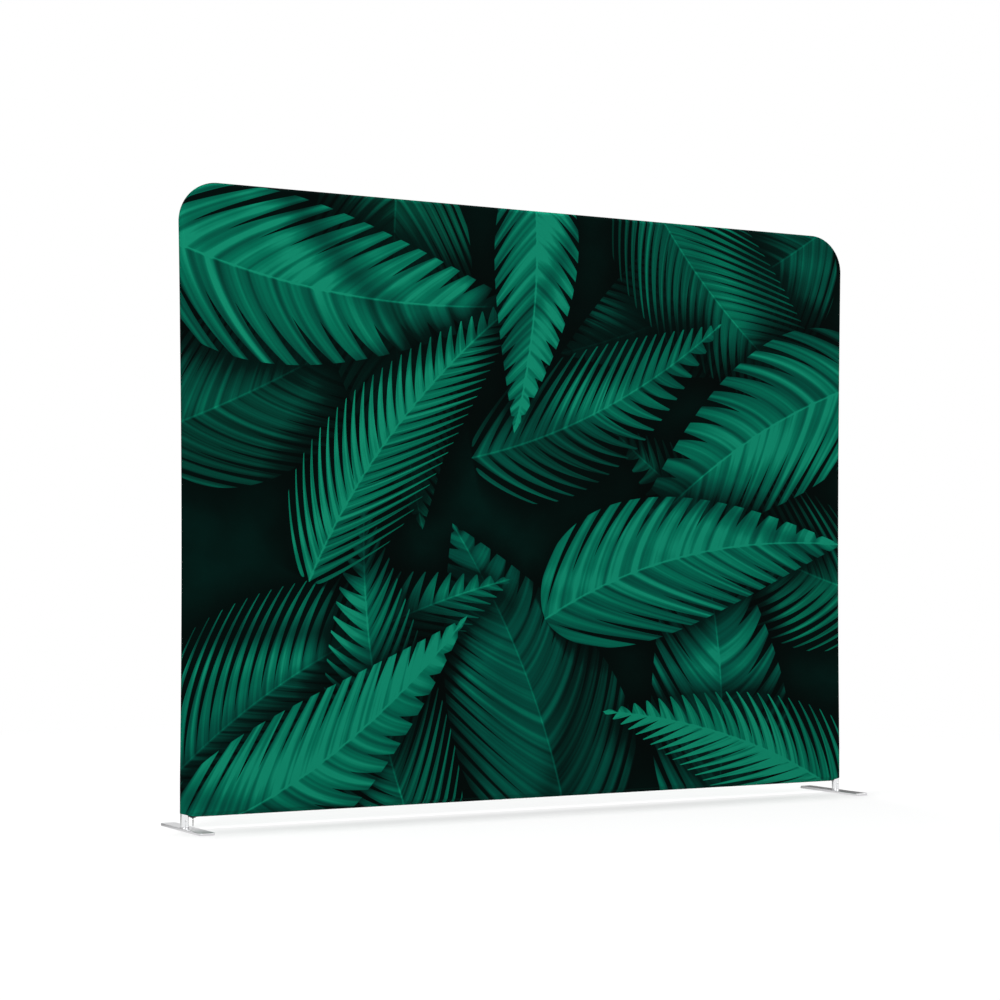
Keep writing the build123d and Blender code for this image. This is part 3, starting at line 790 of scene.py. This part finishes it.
for side, sign in (("left", -1), ("right", 1)):
    centre = np.array([sign * plate_x, 0.0])
    grid = holed_plate(lambda inset: centre + rounded(plate_half_x - inset, plate_half_y - inset,
                                                      plate_corner - inset),
                       np.array([sign * leg_x, 0.0]), section)
    piece = surface("foot_bar_" + side, grid, loop_rows=True, loop_cols=True)
    seal(piece)
    piece.data.materials.append(brushed)
    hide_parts("foot_plate_" + side)
    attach(piece, "frame_and_cover")

# Upright tubes: the lower lengths of the side rails, 20 mm across with a 1.5 mm wall. Their
# ends stand on the spigots' collars and show under the cover, and the front wall is drilled
# for the foot's snap button.
tube_r, tube_bore_r, tube_foot_z, tube_ease = 0.010, 0.0085, 0.00805, 0.00035
button_z, button_hole = 0.0235, 0.0026
rail = rail_rows()
low = np.array([[leg_x, z, 1.0, 0.0] for z in
                (tube_foot_z, 0.0084, 0.014, 0.018, *np.linspace(0.0195, 0.0275, 9), 0.0285)])
middle_z = joint_low_z + shift[1] / 2
middle_x = waist_x + bow_r * (1 - cos(joint_lean)) + shift[0] / 2
keep = rail[:, 1] < middle_z - 0.001
end = np.array([[middle_x, middle_z, cos(joint_lean), -sin(joint_lean)]])
line = np.concatenate([low, rail[keep], end])
ease = np.zeros(len(line))
ease[0] = ease[-1] = tube_ease
turn = np.linspace(0, 2 * pi, 96, endpoint=False)
for side, sign in (("left", -1), ("right", 1)):
    shells = []
    for radius in (tube_r - ease, np.full(len(line), tube_bore_r)):
        grid = np.zeros((len(line), len(turn), 3))
        grid[:, :, 0] = sign * (line[:, 0:1] + radius[:, None] * np.cos(turn) * line[:, 2:3])
        grid[:, :, 1] = radius[:, None] * np.sin(turn)
        grid[:, :, 2] = line[:, 1:2] + radius[:, None] * np.cos(turn) * line[:, 3:4]
        shells.append(grid)
    piece = surface("leg_tube_" + side, np.concatenate([shells[0], shells[1][::-1]]),
                    loop_rows=True, loop_cols=True)
    seal(piece)
    ring = button_hole * np.stack([np.cos(turn), np.sin(turn)], axis=1)
    ends = [np.stack([sign * leg_x + ring[:, 0], np.full(len(turn), y), button_z + ring[:, 1]],
                     axis=1) for y in (-tube_r - 0.002, -0.6 * tube_r)]
    drill = surface("drill", np.stack(ends), loop_cols=True)
    seal(drill)
    cut = piece.modifiers.new("button hole", "BOOLEAN")
    cut.operation = "DIFFERENCE"
    cut.solver = "EXACT"
    cut.object = drill
    seen = piece.evaluated_get(bpy.context.evaluated_depsgraph_get())
    drilled = bpy.data.meshes.new_from_object(seen)
    piece.modifiers.remove(cut)
    piece.data = drilled
    bpy.data.objects.remove(drill)
    drilled.set_sharp_from_angle(angle=radians(35))
    piece.data.materials.append(tube_up)
    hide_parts("upright_tube_" + side)
    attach(piece, "frame_and_cover")

# Snap buttons: turned and polished steel pins with a round crown and a flange that keeps them
# in the tube. Each stands where its own solid stands, along the way it is pressed.
polished = metal("polished_steel", (0.66, 0.66, 0.67), 0.12, (900, 900, 900), 0.08)
pin_r, crown_h, flange_r, flange_t = 0.0025, 0.0011, 0.0032, 0.0006
for joint in frame["joints"]:
    if not joint["name"].endswith("_press"):
        continue
    name = joint["child"]
    out_axis = -np.array(joint["axis"], float)
    node = frame["nodes"][name]
    co = np.zeros(3 * len(node.data.vertices))
    node.data.vertices.foreach_get("co", co)
    co = co.reshape(-1, 3)
    along = co @ out_axis
    middle = (co.min(axis=0) + co.max(axis=0)) / 2
    middle -= out_axis * (middle @ out_axis)
    low, high = along.min(), along.max()
    crown = [(pin_r * cos(t), high - crown_h * (1 - sin(t)))
             for t in np.linspace(0, radians(88), 8)]
    profile = [(0.0, low), (0.0026, low), (flange_r, low + 0.0003), (flange_r, low + flange_t),
               (0.0029, low + 0.0008), (pin_r, low + 0.0009)]
    profile = np.array(profile + crown + [(0.0, high)])
    across = np.cross(out_axis, (0, 1, 0) if abs(out_axis[1]) < 0.5 else (1, 0, 0))
    across /= np.linalg.norm(across)
    second = np.cross(out_axis, across)
    turn = np.linspace(0, 2 * pi, 32, endpoint=False)
    ring = np.cos(turn)[:, None] * across + np.sin(turn)[:, None] * second
    grid = middle + profile[None, :, 0:1] * ring[:, None, :] + profile[None, :, 1:2] * out_axis
    piece = surface(name + "_pin", grid, loop_rows=True)
    seal(piece)
    piece.data.materials.append(polished)
    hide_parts(name)
    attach(piece, name)

# Zip tapes: woven polyester strips along the open edge. Each carries one row of the coil, and
# its outer part goes up inside the turned hem, where it is sewn.
tape_half, tape_flat, tape_z, tape_t = 0.972753, 0.0125, 0.0321, 0.0006
coil_half = 0.969753
twill_slope, twill_pitch = 0.0015, 0.00035
weave = bpy.data.materials.new("zip_tape_weave")
weave.use_nodes = True
tree = weave.node_tree
shader = tree.nodes["Principled BSDF"]
shader.inputs["Roughness"].default_value = 0.8
where = tree.nodes.new("ShaderNodeTexCoord")
parts = tree.nodes.new("ShaderNodeSeparateXYZ")
tree.links.new(where.outputs["Object"], parts.inputs[0])
slope = math_node(tree, "PINGPONG", parts.outputs["Y"], twill_slope)
sloped = math_node(tree, "ADD", parts.outputs["X"], slope)
twill = math_node(tree, "PINGPONG", sloped, twill_pitch)
raised = math_node(tree, "DIVIDE", twill, twill_pitch)
# The twill's raised ribs are coloured lighter and its sunk lines darker: painted shade in the
# twill's grooves.
shades = tree.nodes.new("ShaderNodeValToRGB")
shades.color_ramp.elements[0].color = (0.002, 0.006, 0.005, 1)
shades.color_ramp.elements[1].color = (0.008, 0.022, 0.018, 1)
tree.links.new(raised, shades.inputs["Fac"])
tree.links.new(shades.outputs["Color"], shader.inputs["Base Color"])
bump = tree.nodes.new("ShaderNodeBump")
bump.inputs["Strength"].default_value = 0.5
bump.inputs["Distance"].default_value = 0.0001
tree.links.new(raised, bump.inputs["Height"])
tree.links.new(bump.outputs[0], shader.inputs["Normal"])
for side, name in ((-1, "front"), (1, "back")):
    a = radians(25)
    inside = [(0.0029, 0.0), (0.0045, 0.0), (0.0052, 0.0001), (0.0058, 0.0008)]
    inside += [(0.0058 + s * sin(a), 0.0008 + s * cos(a)) for s in (0.002, 0.0045, 0.0065)]
    inside = np.array(inside)
    run = np.gradient(inside, axis=0)
    run /= np.linalg.norm(run, axis=1)[:, None]
    normal = np.stack([-run[:, 1], run[:, 0]], axis=1)
    loop = np.concatenate([inside + tape_t / 2 * normal, (inside - tape_t / 2 * normal)[::-1]])
    x = np.linspace(-tape_half, tape_half, 98)
    grid = np.zeros((len(x), len(loop), 3))
    grid[:, :, 0] = x[:, None]
    grid[:, :, 1] = side * loop[:, 0]
    grid[:, :, 2] = tape_z + loop[:, 1]
    piece = surface("zip_cloth_" + name, grid, loop_cols=True)
    seal(piece)
    piece.data.materials.append(weave)
    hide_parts("zip_tape_" + name)
    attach(piece, "frame_and_cover")

# Zip coils: one nylon thread each, wound into a flat spiral and sewn along the tape's edge.
nylon = bpy.data.materials.new("nylon_coil")
nylon.use_nodes = True
tree = nylon.node_tree
shader = tree.nodes["Principled BSDF"]
shader.inputs["Roughness"].default_value = 0.42
where = tree.nodes.new("ShaderNodeTexCoord")
cloudy = tree.nodes.new("ShaderNodeTexNoise")
cloudy.inputs["Scale"].default_value = 120
tree.links.new(where.outputs["Object"], cloudy.inputs["Vector"])
shades = tree.nodes.new("ShaderNodeValToRGB")
shades.color_ramp.elements[0].color = (0.004, 0.008, 0.007, 1)
shades.color_ramp.elements[1].color = (0.012, 0.024, 0.021, 1)
tree.links.new(cloudy.outputs["Fac"], shades.inputs["Fac"])
tree.links.new(shades.outputs["Color"], shader.inputs["Base Color"])
turns, thread_r, coil_end = 960, 0.00022, 0.0003
for side, name in ((-1, "front"), (1, "back")):
    wound = np.arange(0, turns * 8 + 1) / 8
    angle = 2 * pi * wound
    x = -coil_half + coil_end + wound * 2 * (coil_half - coil_end) / turns
    radial = np.stack([np.zeros_like(angle), np.cos(angle), np.sin(angle)], axis=1)
    centre = np.stack([x, side * 0.001725 + 0.00093 * np.cos(angle),
                       tape_z + 0.00096 * np.sin(angle)], axis=1)
    around = np.linspace(0, 2 * pi, 4, endpoint=False)
    thread = (np.cos(around)[None, :, None] * radial[:, None, :]
              + np.sin(around)[None, :, None] * np.array([1.0, 0, 0]))
    grid = centre[:, None, :] + thread_r * thread
    piece = surface("zip_spiral_" + name, grid, loop_cols=True)
    seal(piece)
    piece.data.materials.append(nylon)
    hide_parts("zip_coil_" + name)
    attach(piece, "frame_and_cover")

# Zip slider: a dark coated casting. Two wings with side lips run on the coils, joined by a post
# at the nose, and a bridge under the lower wing holds the pull.
coated = metal("dark_coated_casting", (0.045, 0.048, 0.050), 0.3, (300, 300, 300), 0.5, 0.6)
low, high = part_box("zip_slider")
slider_x = (low.x + high.x) / 2
hull = np.array([(0.0044, 0.0006), (0.0044, 0.0020), (0.0041, 0.0023), (0.0036, 0.0025),
                 (0.0, 0.0025), (-0.0036, 0.0025), (-0.0041, 0.0023), (-0.0044, 0.0020),
                 (-0.0044, 0.0006), (-0.0033, 0.0006), (-0.0033, 0.0015), (0.0, 0.0015),
                 (0.0033, 0.0015), (0.0033, 0.0006)])
stations = np.linspace(-1, 1, 21)
width = 1 - 0.22 * np.clip((stations + 0.1) / 1.1, 0, 1) ** 2
width -= 0.10 * np.clip(-stations, 0, 1) ** 3
made = []
for flip in (1, -1):
    grid = np.zeros((len(stations), len(hull), 3))
    grid[:, :, 0] = slider_x + 0.0055 * stations[:, None]
    grid[:, :, 1] = hull[None, :, 0] * width[:, None]
    grid[:, :, 2] = tape_z + flip * hull[None, :, 1]
    made.append(surface("wing", grid, loop_cols=True))
t = np.linspace(0, pi, 15)
line = np.stack([-0.0025 * np.cos(t) * (1 + 0.25 * np.sin(t)),
                 -0.0020 - 0.0030 * np.sin(t) ** 0.6], axis=1)
run = np.gradient(line, axis=0)
run /= np.linalg.norm(run, axis=1)[:, None]
normal = np.stack([run[:, 1], -run[:, 0]], axis=1)
ring = rounded(0.00048, 0.0012, 0.0003, arc=3, side=2)
grid = np.zeros((len(t), len(ring), 3))
grid[:, :, 0] = slider_x + line[:, 0:1] + ring[None, :, 0] * normal[:, 0:1]
grid[:, :, 1] = ring[None, :, 1]
grid[:, :, 2] = tape_z + line[:, 1:2] + ring[None, :, 0] * normal[:, 1:2]
made.append(surface("bridge", grid, loop_cols=True))
ring = rounded(0.0015, 0.0004, 0.00035, arc=4, side=2)
grid = np.zeros((2, len(ring), 3))
grid[:, :, 0] = slider_x - 0.0030 + ring[None, :, 0]
grid[:, :, 1] = ring[None, :, 1]
grid[:, :, 2] = tape_z + np.array([[-0.0018], [0.0018]])
made.append(surface("post", grid, loop_cols=True))
points, faces, base = [], [], 0
for part in made:
    co = np.zeros(3 * len(part.data.vertices))
    part.data.vertices.foreach_get("co", co)
    corner = np.zeros(len(part.data.loops), dtype=np.int32)
    part.data.loops.foreach_get("vertex_index", corner)
    points.append(co.reshape(-1, 3))
    faces.append(corner.reshape(-1, 4) + base)
    base += len(part.data.vertices)
    bpy.data.objects.remove(part)
mesh = bpy.data.meshes.new("slider_body")
mesh.from_pydata(np.concatenate(points).tolist(), [], np.concatenate(faces).tolist())
piece = bpy.data.objects.new("slider_body", mesh)
scene.collection.objects.link(piece)
seal(piece)
piece.data.materials.append(coated)
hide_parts("zip_slider")
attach(piece, "zip_slider")

# Zip pull: a bright stamped tab, hung by its eye from the slider's bridge.
nickel = metal("nickel_plate", (0.84, 0.84, 0.83), 0.16, (700, 700, 700), 0.1)
low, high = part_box("zip_pull")
middle = np.array([0.0, (high.z + low.z) / 2])
outer = middle + rounded(0.0035, (high.z - low.z) / 2, 0.0017)
window = np.array([0.0, high.z - 0.0029]) + rounded(0.0019, 0.0015, 0.0010)
half_t, eased = 0.0007, 0.0002
path = [(0, eased - half_t), (0.08, -half_t), (0.5, -half_t), (0.92, -half_t), (1, eased - half_t),
        (1, half_t - eased), (0.92, half_t), (0.5, half_t), (0.08, half_t), (0, half_t - eased)]
grid = np.zeros((len(outer), len(path), 3))
for k, (share, depth) in enumerate(path):
    grid[:, k, 0] = slider_x + depth
    grid[:, k, 1:] = window * (1 - share) + outer * share
piece = surface("pull_tab", grid, loop_rows=True, loop_cols=True)
seal(piece)
piece.data.materials.append(nickel)
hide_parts("zip_pull")
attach(piece, "zip_pull")
